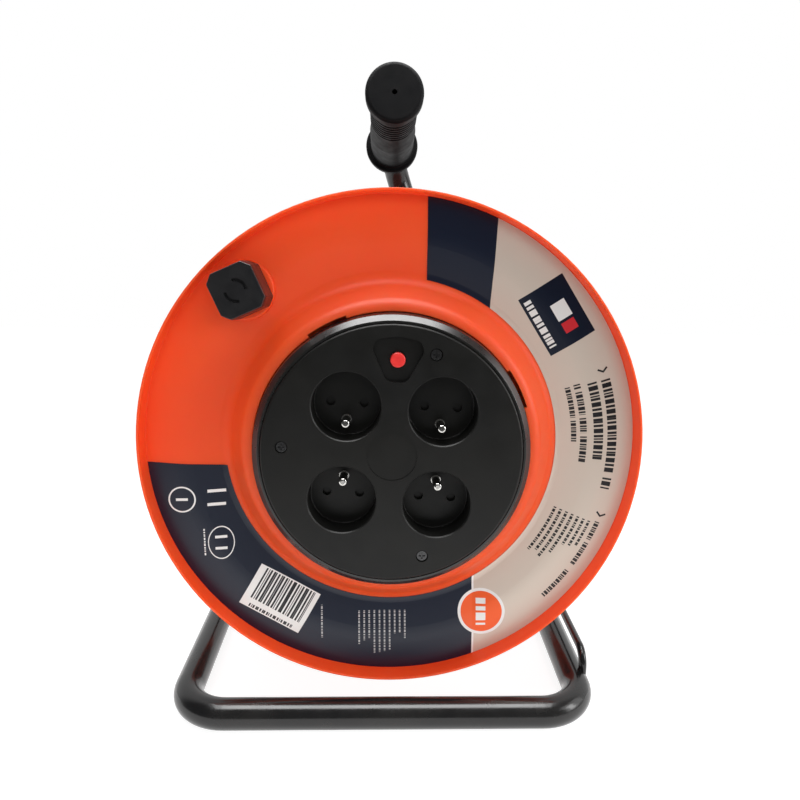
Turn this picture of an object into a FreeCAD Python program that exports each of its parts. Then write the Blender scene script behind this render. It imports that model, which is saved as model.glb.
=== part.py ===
import FreeCAD, Part
import math
import os
from FreeCAD import Vector

# Extension cord reel. A moulded drum with four earthed sockets turns on an axle
# that a bent tube stand carries. The cable is wound on the drum.
# Millimetres, +Z up, X to the right, and the sockets face -Y.
# The origin is on the floor, in the middle of the whole reel's width and depth.
# A depth is measured backwards from the plane of the drum's front rim.
# Angles about the drum's axis run anticlockwise seen from the front, from the right.

# Clearances and edge roundings shared by many pieces
touch_gap = 0.02
running_gap = 0.05
close_gap = 0.1
fit_gap = 0.3
fine_round = 0.4
edge_round = 0.8
soft_round = 1.2
cut_past = 1.0

# Drum mouldings
axle_height = 166.0
flange_radius = 145.0
rim_wall = 1.4
rim_round = 0.6
moulding_wall = 2.5
dish_depth = 11.5
dish_fall = 6.0
dish_run = 25.3
dish_bend = 40.0
shoulder_run = 12.2
shoulder_lip = 5.0
shoulder_foot_round = 8.0
winding_width = 106.0
barrel_radius = 80.0
rear_rim_height = 10.0
spigot_length = 6.0
spigot_wall = 2.0
rib_count = 12
rib_height = 4.0
rib_thickness = 2.0
hub_wall = 3.0
hub_setback = 76.0
drum_screw_count = 6
drum_screw_inset = 7.6
drum_screw_radius = 1.75
drum_screw_length = 26.0
drum_screw_head_radius = 3.7
drum_screw_head_height = 2.4
front_boss_radius = 4.6
rear_boss_radius = 6.0
rear_boss_length = 34.0
boss_floor = 3.0

# Socket plate and the collar that holds it in the front moulding
plate_turn = -2.75
plate_radius = 73.4
plate_edge_round = 1.4
plate_face = 11.6
plate_wall = 3.0
plate_groove = 0.4
collar_drop = 1.0
collar_wall = 1.2
collar_spread = 4.1
collar_bevel = 3.2
collar_gap = 0.4
collar_tail = 5.8
collar_foot_wall = 2.3
ledge_width = 5.0
ledge_wall = 2.2
notch_places = (30.0, 120.0, 255.0)
notch_angle = 17.0
notch_depth = 1.6
lug_turn = 45.0
lug_angle = 15.0
lug_wall = 2.4

# Sockets
socket_pitch = 53.5
well_radius = 19.25
well_depth = 15.0
well_wall = 1.8
well_floor = 2.2
well_lip = 0.6
contact_pitch = 19.0
contact_hole_radius = 2.6
earth_offset = 10.0
earth_pin_radius = 2.4
earth_pin_length = 14.0
earth_shank_radius = 2.9
disc_recess_radius = 14.0
disc_recess_depth = 0.5
plate_screw_circle = 61.5
plate_screw_angles = (70.3, 178.2, 289.5)
plate_screw_radius = 1.75
plate_screw_length = 16.0
plate_screw_head_radius = 3.2
plate_screw_head_height = 1.2
plate_screw_sink = 2.0
cross_length = 3.6
cross_width = 0.8
cross_depth = 0.8

# Thermal cut-out, its button and the recess round it
button_radius = 4.1
button_place = 53.9
button_proud = 0.6
button_travel = 3.0
button_flange = 0.5
button_flange_length = 2.0
recess_half_width = 14.2
recess_top = 66.8
recess_shoulder = 59.2
recess_bottom = 41.6
recess_half_foot = 5.6
recess_top_inset = 2.2
recess_top_drop = 2.2
recess_top_round = 18.0
recess_corner_round = 4.6
recess_depth = 2.4
recess_wall = 1.8
cutout_width = 21.0
cutout_height = 15.0
cutout_depth = 24.0
cutout_bore = 12.0
blade_width = 6.0
blade_thickness = 0.8
blade_length = 8.0
blade_pitch = 12.0

# Shutters, contacts and the housing behind the plate
shutter_width = 29.0
shutter_cover = 9.5
shutter_thickness = 2.0
shutter_travel = 6.5
carrier_wall = 2.0
housing_inset = 7.4
housing_wall = 2.0
housing_length = 52.6
housing_boss_wall = 2.4
web_clearance = 1.6
clip_wall = 0.8
clip_grip = 0.1
clip_slit = 0.8
clip_slit_length = 8.0
bar_width = 6.0
bar_thickness = 1.0
bar_spacing = 6.0
earth_bar_gap = 4.0

# Printed label on the front moulding
label_thickness = 0.25
label_glue = 0.05
label_margin = 0.3
label_foot_margin = 1.9
label_turn = 0.75
label_top_edge = 20.5
label_left_drop = 9.4
label_left_slope = 4.9
label_left_reach = 130.0

# Winding knob
knob_circle = 122.7
knob_angle = 133.0
knob_width = 27.5
knob_corner_cut = 4.2
knob_corner_round = 1.5
knob_height = 20.5
knob_turn = 24.0
knob_taper = 0.9
knob_wall = 2.2
knob_hub_height = 9.0
knob_cap_thickness = 2.2
knob_cap_spigot = 2.0
knob_boss_radius = 17.0
knob_boss_rise = 0.8
spindle_radius = 4.0
spindle_tip = 1.5
spindle_head_radius = 6.5
spindle_head_height = 1.6
clip_washer_width = 3.0
clip_washer_thickness = 1.0
arc_slot_radius = 5.6
arc_slot_width = 1.6
arc_slot_angle = 100.0
arc_slot_depth = 1.6
arc_slot_middle = 60.0

# Cable, winding and plug
cable_radius = 4.0
turn_gap = 0.6
climb_angle = 50.0
cable_bend = 40.0
leave_angle = 74.0
leave_run = 30.0
plug_angle = -90.0
plug_radius = 18.4
plug_back_radius = 15.9
plug_length = 38.0
plug_taper_length = 12.0
plug_half_depth = 15.5
plug_clearance = 4.1
plug_inset = 3.0
plug_floor_gap = 5.0
plug_pin_radius = 2.4
plug_pin_length = 19.0
plug_pin_root = 9.0
plug_root_radius = 3.0
plug_earth_radius = 2.45
plug_earth_depth = 16.0
relief_length = 24.0
relief_tip_radius = 5.4
relief_radius = 8.0
relief_taper_length = 8.0
cradle_wall = 2.4
cradle_length = 9.0
cradle_lip = 3.0
lead_bend = 24.0
lead_setback = 36.0
gland_radius = 9.0
gland_stem_radius = 7.0
gland_length = 12.0
gland_thread = 5.0
gland_nut_radius = 11.0
gland_nut_height = 2.6

# Axle and bearings
axle_radius = 12.5
axle_flange_radius = 34.0
axle_flange_thickness = 4.0
axle_screw_circle = 27.0
axle_screw_count = 4
axle_screw_radius = 2.5
axle_screw_head_radius = 4.4
axle_screw_head_height = 2.2
axle_nut_radius = 4.6
axle_nut_height = 4.0
bush_length = 12.0
bush_flange_thickness = 1.5
bush_flange_inset = 0.5
washer_thickness = 1.5
end_screw_radius = 4.0
end_screw_length = 24.0
end_screw_head_radius = 7.5
end_screw_head_height = 5.0

# Stand
tube_radius = 9.0
tube_wall = 1.5
front_half_width = 121.5
rear_half_width = 127.5
stand_aside = -3.0
front_bar_reach = 14.0
rear_plane = 181.0
front_corner = 28.0
rear_corner = 42.0
handle_bend = 32.0
handle_front_depth = 35.0
handle_front_rise = 202.0
handle_rear_depth = 149.0
handle_rear_rise = 194.0
leg_joint_drop = 57.75
hub_plate_thickness = 3.0
hub_plate_rise = 42.0
hub_plate_drop = 42.0
hub_plate_overlap = 13.0
hub_plate_corner = 9.0
frame_bolt_radius = 3.0
frame_bolt_inset = 13.0
frame_bolt_head_radius = 6.6
frame_bolt_head_height = 2.6
frame_nut_radius = 5.5
frame_nut_height = 5.5
bolt_thread_past = 1.6

# Grip
grip_cap_radius = 17.0
grip_cap_length = 8.0
grip_front_radius = 13.8
grip_rear_radius = 15.4
grip_rear_flange_radius = 19.0
grip_rear_flange_length = 5.5
grip_ring_count = 9
grip_ring_pitch = 4.2
grip_ring_height = 0.9
grip_ring_slope = 0.6
grip_groove = 1.2
grip_swell_length = 22.0
grip_end_wall = 4.5
grip_vent_radius = 1.5

# Cable guide
guide_wire_radius = 2.5
guide_front_depth = 17.0
guide_rear_depth = 104.0
guide_height = 28.0
guide_bend = 10.0
guide_foot_height = 12.0
guide_lean = 5.5

# Radii that follow from the plate outwards
collar_inner = plate_radius + plate_groove
collar_outer = collar_inner + collar_wall + collar_spread
plate_hole = collar_outer + collar_gap
shoulder_top = plate_hole + shoulder_lip
shoulder_foot = shoulder_top + shoulder_run
dish_radius = shoulder_foot + dish_run
flat_band = flange_radius - rim_wall - label_margin - dish_radius
housing_radius = plate_radius - housing_inset
web_hole = housing_radius + web_clearance
spigot_radius = barrel_radius - moulding_wall - fit_gap
drum_screw_circle = barrel_radius - drum_screw_inset
bush_radius = axle_radius + running_gap
hub_bore = axle_radius + hub_wall
hub_radius = hub_bore + hub_wall

# Depths that follow, from the front to the back
plate_front = -plate_face
plate_back = plate_front + plate_wall
floor_front = plate_front + well_depth
floor_back = floor_front + well_floor
recess_floor = plate_front + recess_depth
recess_back = recess_floor + recess_wall
shutter_front = floor_back + fit_gap
shutter_back = shutter_front + shutter_thickness
carrier_front = shutter_back + fit_gap
carrier_back = carrier_front + carrier_wall
earth_bar_front = carrier_back + earth_bar_gap
live_bar_front = earth_bar_front + bar_spacing
neutral_bar_front = live_bar_front + bar_spacing
housing_back = plate_back + housing_length
housing_floor = housing_back - housing_wall
face_foot = dish_depth + dish_fall
web_back = face_foot + moulding_wall
shoulder_round = (shoulder_lip - 2 * fine_round) / math.tan(math.atan2(face_foot, shoulder_run) / 2)
dish_round = min(dish_bend, (flat_band - edge_round) / math.tan(math.atan2(dish_fall, dish_run) / 2))
rear_face = web_back + winding_width
rear_wall_back = rear_face + moulding_wall
rear_rim_back = rear_face + rear_rim_height
knob_boss_front = dish_depth - knob_boss_rise
knob_base = knob_boss_front - fit_gap
knob_front = knob_base - knob_height
knob_cap_back = knob_front + knob_cap_thickness
knob_hub_front = knob_base - knob_hub_height
knob_clip_back = knob_hub_front - fit_gap
lead_depth = housing_back + lead_setback
hub_front = web_back + hub_setback
axle_front = hub_front - bush_flange_thickness - fit_gap
hub_plate_front = rear_plane - tube_radius - hub_plate_thickness
axle_flange_front = hub_plate_front - axle_flange_thickness
hub_back = axle_flange_front - washer_thickness - bush_flange_thickness - fit_gap

# The cable's turns and the plug, from the barrel outwards
layer_step = math.sqrt(3) * cable_radius
first_layer_radius = barrel_radius + cable_radius + fit_gap
plug_reach = min(flange_radius - plug_inset, axle_height - plug_radius - plug_floor_gap)
outer_layer_limit = plug_reach - plug_radius - fit_gap - cable_radius
layers_below = int((outer_layer_limit - first_layer_radius) / layer_step)
outer_layer_radius = first_layer_radius + layers_below * layer_step
core_radius = outer_layer_radius - cable_radius - fit_gap
winding_radius = outer_layer_radius + cable_radius
turn_pitch = 2 * cable_radius + turn_gap
turn_count = int((winding_width - 2 * (cable_radius + turn_gap)) / turn_pitch)
last_turn_depth = rear_face - cable_radius - turn_gap
first_turn_depth = last_turn_depth - turn_count * turn_pitch
winding_end_angle = plug_angle - leave_angle
winding_start_angle = winding_end_angle - turn_count * 360
plug_line = winding_radius + plug_radius + fit_gap
plug_depth = rear_face - plug_clearance - plug_half_depth
plug_front = plug_length / 2
plug_rear = -plug_length / 2
relief_rear = plug_rear - relief_length

# The whole reel's depth sets where the origin lies
front_reach = -front_bar_reach - tube_radius
back_reach = rear_plane + tube_radius + frame_nut_height
rim_y = -(front_reach + back_reach) / 2

drum_axis = Vector(0, -1, 0)
backwards = Vector(0, 1, 0)


def at(x, depth, z):
    """A point from its place across, its depth behind the front rim and its height."""
    return Vector(x, rim_y + depth, z)


def drum_point(radius, angle, depth):
    """A point about the drum's axis."""
    turn = math.radians(angle)
    return at(radius * math.cos(turn), depth, axle_height + radius * math.sin(turn))


def plate_point(x, y, depth):
    """A point on the socket plate, which sits a little turned in the drum."""
    return drum_point(math.hypot(x, y), math.degrees(math.atan2(y, x)) + plate_turn, depth)


def rounded_edges(corners, closed=False):
    """Straight runs through (point, radius) corners, each corner rounded by its own arc."""
    count = len(corners)
    entries = []
    leaves = []
    middles = []
    for index, (point, radius) in enumerate(corners):
        is_end = not closed and index in (0, count - 1)
        if radius == 0 or is_end:
            entries.append(point)
            leaves.append(point)
            middles.append(None)
            continue
        back = (corners[index - 1][0] - point).normalize()
        ahead = (corners[(index + 1) % count][0] - point).normalize()
        half = back.getAngle(ahead) / 2
        reach = radius / math.tan(half)
        inward = (back + ahead).normalize()
        entries.append(point + back * reach)
        leaves.append(point + ahead * reach)
        middles.append(point + inward * (radius / math.sin(half) - radius))
    edges = []
    for index in range(count):
        if middles[index] is not None:
            edges.append(Part.Arc(entries[index], middles[index], leaves[index]).toShape())
        following = (index + 1) % count
        if following == 0 and not closed:
            continue
        if (entries[following] - leaves[index]).Length > 1e-6:
            edges.append(Part.LineSegment(leaves[index], entries[following]).toShape())
    return edges


def face_of(corners):
    """A flat face inside a closed rounded outline."""
    return Part.Face(Part.Wire(rounded_edges(corners, closed=True)))


def turned(profile, centre=Vector(0, 0, axle_height), start=0.0, sweep=360.0):
    """A solid turned about a line along Y from (radius, depth, corner radius) points."""
    corners = [(at(centre.x + radius, depth, centre.z), corner) for radius, depth, corner in profile]
    solid = face_of(corners).revolve(centre, drum_axis, sweep)
    if start:
        solid.rotate(centre, drum_axis, start)
    return solid


def ring(inner, outer, front, back, centre=Vector(0, 0, axle_height), start=0.0, sweep=360.0):
    """A plain ring or part of one, about a line along Y."""
    profile = [(inner, front, 0), (outer, front, 0), (outer, back, 0), (inner, back, 0)]
    return turned(profile, centre, start, sweep)


def bar(radius, front, back, centre):
    """A cylinder along Y between two depths."""
    return Part.makeCylinder(radius, back - front, at(centre.x, front, centre.z), backwards)


def plate_block(x_low, x_high, y_low, y_high, front, back):
    """A block square to the socket plate's own axes."""
    block = Part.makeBox(x_high - x_low, back - front, y_high - y_low, at(x_low, front, axle_height + y_low))
    block.rotate(Vector(0, 0, axle_height), drum_axis, plate_turn)
    return block


def hexagon(radius, front, height, centre):
    """A six-sided nut blank."""
    corners = []
    for index in range(6):
        turn = math.radians(index * 60)
        corners.append((at(centre.x + radius * math.cos(turn), front, centre.z + radius * math.sin(turn)), 0))
    return face_of(corners).extrude(backwards * height)


def joined(shapes):
    """One solid from overlapping or touching ones."""
    return shapes[0].fuse(shapes[1:]).removeSplitter()


def group(shapes):
    """Separate solids kept together in one node."""
    return Part.makeCompound(shapes)


def pipe(edges, radius):
    """A round bar along a smooth path."""
    start = edges[0].valueAt(edges[0].FirstParameter)
    heading = edges[0].tangentAt(edges[0].FirstParameter)
    section = Part.Wire(Part.makeCircle(radius, start, heading))
    return Part.Wire(edges).makePipeShell([section], True, False)


def even_angles(count, first=0.0):
    """Angles spread evenly round a circle."""
    return [first + index * 360 / count for index in range(count)]


drum_screw_places = [drum_point(drum_screw_circle, angle, 0)
                     for angle in even_angles(drum_screw_count, 180 / drum_screw_count)]
axle_screw_places = [drum_point(axle_screw_circle, angle, 0)
                     for angle in even_angles(axle_screw_count, 180 / axle_screw_count)]
plate_screw_places = [drum_point(plate_screw_circle, angle + plate_turn, 0) for angle in plate_screw_angles]
knob_place = drum_point(knob_circle, knob_angle, 0)
button_centre = plate_point(0, button_place, 0)
half_pitch = socket_pitch / 2
sockets = [(x, y) for y in (half_pitch, -half_pitch) for x in (-half_pitch, half_pitch)]


def inwards(y):
    """The way from a socket's row to the middle of the plate."""
    return -1.0 if y > 0 else 1.0


# Front moulding: rim, dished face, shoulder round the plate, and the web that the barrel seats on
def front_profile():
    wall = moulding_wall
    lean = shoulder_run / face_foot
    back_shift = wall * math.hypot(shoulder_run, face_foot) / shoulder_run
    inner_top = shoulder_top + (wall - back_shift) * lean
    inner_foot = shoulder_top + (face_foot - back_shift) * lean
    spigot_inner = spigot_radius - spigot_wall
    spigot_back = web_back + spigot_length
    rim_inner = flange_radius - rim_wall
    return [
        (flange_radius, 0, rim_round), (rim_inner, 0, rim_round), (rim_inner, dish_depth, fine_round),
        (dish_radius, dish_depth, dish_round), (shoulder_foot, face_foot, shoulder_foot_round),
        (shoulder_top, 0, shoulder_round), (plate_hole, 0, fine_round), (plate_hole, wall, 0),
        (inner_top, wall, soft_round), (inner_foot, face_foot, soft_round), (web_hole, face_foot, 0),
        (web_hole, web_back, 0), (spigot_inner, web_back, 0), (spigot_inner, spigot_back, 0),
        (spigot_radius, spigot_back, 0), (spigot_radius, web_back, 0), (shoulder_foot, web_back, 0),
        (dish_radius, dish_depth + wall, dish_round), (flange_radius, dish_depth + wall, edge_round)]


def drum_front():
    spigot_back = web_back + spigot_length
    pieces = [turned(front_profile())]
    for place in drum_screw_places:
        pieces.append(bar(front_boss_radius, web_back, spigot_back, place))
    boss_back = web_back - moulding_wall / 2
    pieces.append(turned([(0, knob_boss_front, 0), (knob_boss_radius, knob_boss_front, soft_round),
                          (knob_boss_radius, boss_back, 0), (0, boss_back, 0)], knob_place))
    cuts = []
    for place in drum_screw_places:
        cuts.append(bar(drum_screw_radius + close_gap, face_foot - cut_past, spigot_back + cut_past, place))
    for angle in notch_places:
        start = angle + plate_turn - notch_angle / 2
        cuts.append(ring(plate_hole - cut_past, plate_hole + notch_depth, -cut_past, moulding_wall + fit_gap,
                         start=start, sweep=notch_angle))
    cuts.append(bar(spindle_radius + touch_gap, knob_boss_front - cut_past, web_back + cut_past, knob_place))
    pocket = web_back - spindle_head_height - touch_gap
    cuts.append(bar(spindle_head_radius + close_gap, pocket, web_back + cut_past, knob_place))
    return joined(pieces).cut(cuts)


# Rear moulding: barrel, rear flange with its rim and ribs, hub tube, screw bosses and the plug's cradle
def drum_rear():
    barrel_front = web_back + touch_gap
    barrel_inner = barrel_radius - moulding_wall
    rim_inner = flange_radius - rim_wall
    pieces = [turned([
        (barrel_radius, barrel_front, 0), (barrel_radius, rear_face, fine_round),
        (flange_radius, rear_face, edge_round), (flange_radius, rear_rim_back, rim_round),
        (rim_inner, rear_rim_back, rim_round), (rim_inner, rear_wall_back, soft_round),
        (hub_radius, rear_wall_back, soft_round), (hub_radius, hub_back, 0), (hub_bore, hub_back, 0),
        (hub_bore, hub_front, 0), (hub_radius, hub_front, 0), (hub_radius, rear_face, edge_round),
        (barrel_inner, rear_face, edge_round), (barrel_inner, barrel_front, 0)])]
    rib_start = hub_radius - hub_wall / 2
    rib_length = flange_radius - rim_wall / 2 - rib_start
    rib_front = rear_wall_back - moulding_wall / 2
    for angle in even_angles(rib_count):
        rib = Part.makeBox(rib_length, rear_wall_back + rib_height - rib_front, rib_thickness,
                           at(rib_start, rib_front, axle_height - rib_thickness / 2))
        rib.rotate(Vector(0, 0, axle_height), drum_axis, angle)
        pieces.append(rib)
    boss_front = web_back + spigot_length + close_gap
    boss_back = boss_front + rear_boss_length
    for place in drum_screw_places:
        pieces.append(bar(rear_boss_radius, boss_front, boss_back, place))
    pieces.append(plug_cradle())
    cuts = []
    for place in drum_screw_places:
        cuts.append(bar(drum_screw_radius + touch_gap, boss_front - cut_past, boss_back - boss_floor, place))
    hole_start = drum_point(barrel_radius - 2 * moulding_wall, plug_angle, lead_depth)
    hole_end = drum_point(barrel_radius + cut_past, plug_angle, lead_depth)
    hole_way = hole_end - hole_start
    cuts.append(Part.makeCylinder(cable_radius + fit_gap, hole_way.Length, hole_start, hole_way))
    return joined(pieces).cut(cuts)


def drum_screws():
    seat = face_foot - touch_gap
    head = seat - drum_screw_head_height
    profile = [(0, head, 0), (drum_screw_head_radius, head, edge_round), (drum_screw_head_radius, seat, 0),
               (drum_screw_radius, seat, 0), (drum_screw_radius, seat + drum_screw_length, fine_round),
               (0, seat + drum_screw_length, 0)]
    return group([turned(profile, place) for place in drum_screw_places])


# Tapered collar with bayonet lugs that lock behind the front moulding's edge
def socket_collar():
    front = plate_front + collar_drop
    ledge_front = plate_back + close_gap
    ledge_back = ledge_front + ledge_wall
    body = turned([
        (collar_inner, front, 0), (collar_inner + collar_wall, front, fine_round),
        (collar_inner + collar_wall + collar_bevel, front + collar_bevel, edge_round),
        (collar_outer, 0, edge_round), (collar_outer, collar_tail, 0),
        (collar_outer - collar_foot_wall, collar_tail, 0), (collar_inner, ledge_back, 0),
        (collar_inner - ledge_width, ledge_back, 0), (collar_inner - ledge_width, ledge_front, 0),
        (collar_inner, ledge_front, 0)])
    lug_front = moulding_wall + fit_gap
    pieces = [body]
    for angle in notch_places:
        start = angle + plate_turn + lug_turn - lug_angle / 2
        pieces.append(ring(collar_outer - collar_foot_wall / 2, plate_hole + notch_depth - fit_gap, lug_front,
                           lug_front + lug_wall, start=start, sweep=lug_angle))
    return joined(pieces)


def recess_outline(grow, depth):
    """The recess round the button, wide at the top and round at the foot."""
    half_top = recess_half_width - recess_top_inset
    shoulder_height = recess_top - recess_top_drop
    points = [(-recess_half_width - grow, recess_shoulder, recess_corner_round + grow),
              (-half_top - grow, shoulder_height + grow, recess_corner_round + grow),
              (0, recess_top + grow, recess_top_round),
              (half_top + grow, shoulder_height + grow, recess_corner_round + grow),
              (recess_half_width + grow, recess_shoulder, recess_corner_round + grow),
              (recess_half_foot + grow, recess_bottom - grow, recess_half_foot + grow),
              (-recess_half_foot - grow, recess_bottom - grow, recess_half_foot + grow)]
    return face_of([(plate_point(x, y, depth), corner) for x, y, corner in points])


# Socket plate: one moulding with four wells, the button's recess and three screw seats
def socket_plate():
    body = turned([(0, plate_front, 0), (plate_radius, plate_front, plate_edge_round),
                   (plate_radius, plate_back, 0), (0, plate_back, 0)])
    pieces = [body]
    inside = plate_front + plate_wall / 2
    for x, y in sockets:
        pieces.append(bar(well_radius + well_wall, inside, floor_back, plate_point(x, y, 0)))
    pieces.append(recess_outline(recess_wall, inside).extrude(backwards * (recess_back - inside)))
    cuts = []
    for x, y in sockets:
        cuts.append(turned([(0, plate_front - cut_past, 0), (well_radius + well_lip, plate_front - cut_past, 0),
                            (well_radius + well_lip, plate_front, 0), (well_radius, plate_front + well_lip, 0),
                            (well_radius, floor_front, edge_round), (0, floor_front, 0)], plate_point(x, y, 0)))
        for place in contact_places(x, y):
            cuts.append(bar(contact_hole_radius, floor_front - cut_past, floor_back + cut_past, place))
        cuts.append(bar(earth_shank_radius + touch_gap, floor_front - cut_past, floor_back + cut_past,
                        earth_place(x, y)))
    open_front = plate_front - cut_past
    cuts.append(recess_outline(0, open_front).extrude(backwards * (recess_floor - open_front)))
    cuts.append(bar(button_radius + fit_gap, open_front, recess_back + cut_past, button_centre))
    cuts.append(bar(disc_recess_radius, open_front, plate_front + disc_recess_depth, plate_point(0, 0, 0)))
    for place in plate_screw_places:
        cuts.append(bar(plate_screw_head_radius + fit_gap, open_front, plate_front + plate_screw_sink, place))
        cuts.append(bar(plate_screw_radius + close_gap, plate_front, plate_back + cut_past, place))
    return joined(pieces).cut(cuts)


def contact_places(x, y):
    """The two current-carrying contacts of a socket, left and right."""
    return [plate_point(x - contact_pitch / 2, y, 0), plate_point(x + contact_pitch / 2, y, 0)]


def earth_place(x, y):
    """A socket's earth pin, on the side of the plate's middle."""
    return plate_point(x, y + inwards(y) * earth_offset, 0)


def plate_screws():
    screws = []
    seat = plate_front + plate_screw_sink - touch_gap
    head = seat - plate_screw_head_height
    for place in plate_screw_places:
        body = turned([(0, head, 0), (plate_screw_head_radius, head, fine_round),
                       (plate_screw_head_radius, seat, 0), (plate_screw_radius, seat, 0),
                       (plate_screw_radius, seat + plate_screw_length, fine_round),
                       (0, seat + plate_screw_length, 0)], place)
        slots = []
        for wide, high in ((cross_length, cross_width), (cross_width, cross_length)):
            corner = at(place.x - wide / 2, head - cut_past, place.z - high / 2)
            slots.append(Part.makeBox(wide, cut_past + cross_depth, high, corner))
        screws.append(body.cut(slots))
    return group(screws)


# Insulating cup behind the plate, with screw bosses and the cable's way in
def socket_housing():
    rim = plate_back + close_gap
    inner = housing_radius - housing_wall
    body = turned([(inner, rim, 0), (housing_radius, rim, 0), (housing_radius, housing_back, soft_round),
                   (0, housing_back, 0), (0, housing_floor, 0), (inner, housing_floor, soft_round)])
    pieces = [body]
    for place in plate_screw_places:
        pieces.append(bar(plate_screw_radius + housing_boss_wall, rim, housing_floor + housing_wall / 2, place))
    cuts = []
    for place in plate_screw_places:
        hole_back = plate_front + plate_screw_sink + plate_screw_length + cut_past
        cuts.append(bar(plate_screw_radius + touch_gap, rim - cut_past, hole_back, place))
    cuts.append(bar(gland_stem_radius + close_gap, housing_floor - cut_past, housing_back + cut_past,
                    plate_point(0, 0, 0)))
    room = recess_outline(recess_wall + close_gap, rim - cut_past)
    cuts.append(room.extrude(backwards * (recess_back + close_gap - rim + cut_past)))
    return joined(pieces).cut(cuts)


# Shutter behind a socket's floor. Its two holes line up with the contacts when it slides outwards.
def shutter(x, y):
    outwards = -inwards(y)
    margin = shutter_cover / 2
    ends = (y + outwards * margin, y - outwards * (shutter_travel + margin))
    body = plate_block(x - shutter_width / 2, x + shutter_width / 2, min(ends), max(ends),
                       shutter_front, shutter_back)
    slot = earth_shank_radius + fit_gap
    earth_y = y - outwards * earth_offset
    slot_ends = (earth_y + outwards * slot, earth_y - outwards * (slot + shutter_travel))
    cuts = [plate_block(x - slot, x + slot, min(slot_ends), max(slot_ends), shutter_front - cut_past,
                        shutter_back + cut_past)]
    for place in contact_places(x, y - outwards * shutter_travel):
        cuts.append(bar(contact_hole_radius + close_gap, shutter_front - cut_past, shutter_back + cut_past,
                        place))
    return body.cut(cuts)


# Carrier plate that holds the contacts and keeps the shutters in
def contact_carrier():
    low = carrier_front - cut_past
    high = carrier_back + cut_past
    cuts = []
    for place in plate_screw_places:
        cuts.append(bar(plate_screw_radius + housing_boss_wall + close_gap, low, high, place))
    for x, y in sockets:
        for place in contact_places(x, y):
            cuts.append(bar(contact_hole_radius - clip_grip + clip_wall + close_gap, low, high, place))
        cuts.append(bar(earth_shank_radius + close_gap, low, high, earth_place(x, y)))
    half_width = cutout_width / 2 + close_gap
    half_height = cutout_height / 2 + close_gap
    cuts.append(plate_block(-half_width, half_width, button_place - half_height, button_place + half_height,
                            low, high))
    disc = bar(housing_radius - housing_wall - close_gap, carrier_front, carrier_back, plate_point(0, 0, 0))
    return disc.cut(cuts)


def earth_pin(x, y):
    """A round pin that stands in the well, on a thicker shank that ends at the earth bar."""
    front = floor_front - earth_pin_length
    back = earth_bar_front - touch_gap
    return turned([(0, front, 0), (earth_pin_radius, front, soft_round), (earth_pin_radius, floor_front, 0),
                   (earth_shank_radius, floor_front, 0), (earth_shank_radius, back, 0), (0, back, 0)],
                  earth_place(x, y))


def contact_bar(columns, front, row):
    """A flat brass bar: one strip down each column of contacts and one across the middle."""
    half = bar_width / 2
    back = front + bar_thickness
    strips = [plate_block(x - half, x + half, -row - half, row + half, front, back) for x in columns]
    strips.append(plate_block(min(columns) - half, max(columns) + half, -half, half, front, back))
    return joined(strips)


def contact_clips(side, bar_front):
    """Slit brass sleeves that grip a plug's pins, one behind each hole of one pole."""
    inner = contact_hole_radius - clip_grip
    outer = inner + clip_wall
    front = carrier_front + clip_grip
    back = bar_front - touch_gap
    clips = []
    for x, y in sockets:
        sleeve = turned([(inner, front, 0), (outer, front, 0), (outer, back, 0), (0, back, 0),
                         (0, back - clip_wall, 0), (inner, back - clip_wall, 0)], contact_places(x, y)[side])
        middle = x + (side - 0.5) * contact_pitch
        slit = plate_block(middle - clip_slit / 2, middle + clip_slit / 2, y - outer - cut_past,
                           y + outer + cut_past, front - cut_past, front + clip_slit_length)
        clips.append(sleeve.cut(slit))
    return group(clips)


# Thermal cut-out behind the button, with two blades for its wires
def cutout_body():
    front = recess_back + close_gap
    back = front + cutout_depth
    body = plate_block(-cutout_width / 2, cutout_width / 2, button_place - cutout_height / 2,
                       button_place + cutout_height / 2, front, back)
    bore = bar(button_radius + button_flange + fit_gap, front - cut_past, front + cutout_bore, button_centre)
    pieces = [body.cut(bore)]
    for side in (-0.5, 0.5):
        middle = side * blade_pitch
        pieces.append(plate_block(middle - blade_thickness / 2, middle + blade_thickness / 2,
                                  button_place - blade_width / 2, button_place + blade_width / 2,
                                  back - blade_thickness, back + blade_length))
    return joined(pieces)


def cutout_button():
    front = plate_front - button_proud
    flange = recess_back + button_travel + fit_gap
    back = flange + button_flange_length
    return turned([(0, front, 0), (button_radius, front, edge_round), (button_radius, flange, 0),
                   (button_radius + button_flange, flange, 0), (button_radius + button_flange, back, 0),
                   (0, back, 0)], button_centre)


# Printed sheet glued on the dished face, open over the bare quarter that holds the knob
def label():
    outer = flange_radius - rim_wall - label_margin
    inner = shoulder_foot + label_foot_margin
    top = label_glue + label_thickness
    sheet = turned([
        (outer, dish_depth - top, 0), (dish_radius, dish_depth - top, dish_round),
        (shoulder_foot, face_foot - top, shoulder_foot_round), (shoulder_top, -top, 0),
        (shoulder_top, -label_glue, 0), (shoulder_foot, face_foot - label_glue, shoulder_foot_round),
        (dish_radius, dish_depth - label_glue, dish_round), (outer, dish_depth - label_glue, 0)])
    middle = bar(inner, -cut_past - top, web_back, Vector(0, 0, axle_height))
    reach = flange_radius + cut_past
    slope = math.tan(math.radians(label_left_slope))
    far_z = axle_height - label_left_drop + (reach - label_left_reach) * slope
    near_z = axle_height - label_left_drop - label_left_reach * slope
    open_quarter = face_of([
        (at(label_top_edge, 0, near_z), 0), (at(label_top_edge, 0, axle_height + reach), 0),
        (at(-reach, 0, axle_height + reach), 0), (at(-reach, 0, far_z), 0), (at(0, 0, near_z), 0)])
    opening = open_quarter.extrude(backwards * web_back)
    opening.rotate(Vector(0, 0, axle_height), drum_axis, label_turn)
    return sheet.cut([opening, middle])


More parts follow.
